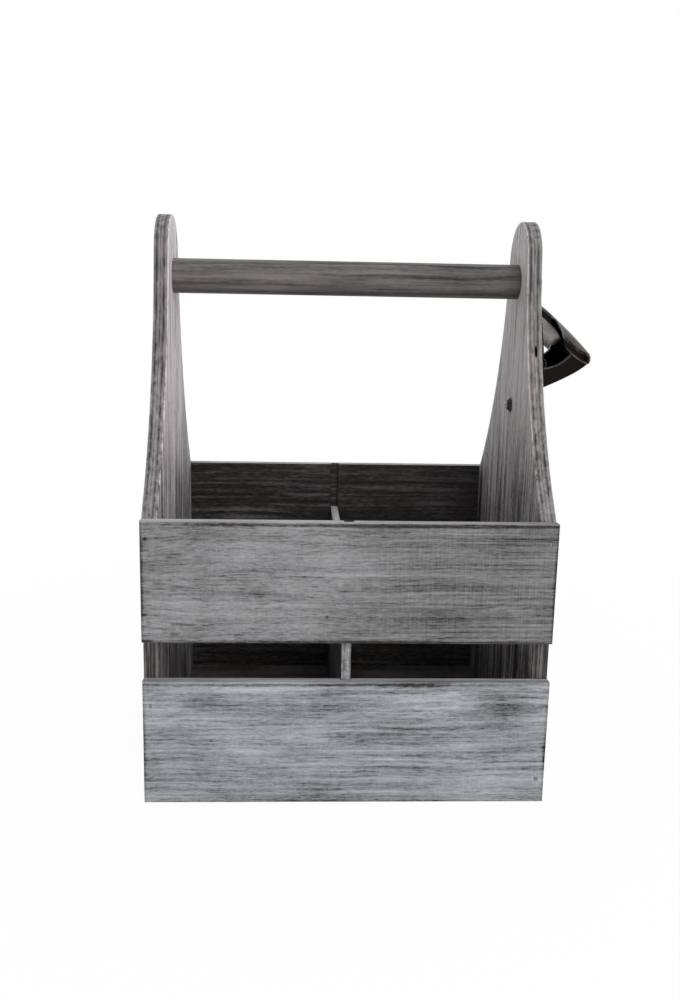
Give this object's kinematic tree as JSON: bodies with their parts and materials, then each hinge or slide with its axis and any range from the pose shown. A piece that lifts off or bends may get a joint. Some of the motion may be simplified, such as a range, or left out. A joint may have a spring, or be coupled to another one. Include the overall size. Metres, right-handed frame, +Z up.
{
  "type": "bottle caddy",
  "caption": "Open wooden carrier with arched end panels, slatted sides, a round carrying bar, a lift-out divider and a cast cap opener on one end.",
  "frame": {"origin": "middle of the caddy's underside, on the surface it stands on, halfway between the two end panels", "axes": "+X from the plain end panel to the panel with the opener, -Y to the front slats, +Z up"},
  "size_m": [0.2224, 0.16, 0.2755],
  "materials": {
    "panel_wood": "grey-washed plywood, matt, worn",
    "slat_wood": "grey-washed plywood with dark grain, matt",
    "divider_wood": "thin grey-washed plywood, matt",
    "dowel_wood": "grey-brown washed hardwood, satin",
    "cast_metal": "dark bronzed casting, worn bright on its edges",
    "screw_steel": "antiqued steel",
    "brad_steel": "galvanised wire"
  },
  "bodies": {
    "caddy": {"left_end_panel": "panel_wood", "right_end_panel": "panel_wood", "front_upper_slat": "slat_wood", "front_lower_slat": "slat_wood", "back_upper_slat": "slat_wood", "back_lower_slat": "slat_wood", "base_board": "slat_wood", "handle_dowel": "dowel_wood", "bottle_opener": "cast_metal", "opener_screws": "screw_steel", "handle_screw": "screw_steel", "front_brads": "brad_steel", "back_brads": "brad_steel", "base_brads": "brad_steel"},
    "divider": {"centre_divider": "divider_wood"}
  },
  "joints": [
    {"name": "divider_lift", "type": "slide", "parent": "caddy", "child": "divider", "axis": [0, 0, 1], "range_m": [0, 0.126]}
  ]
}
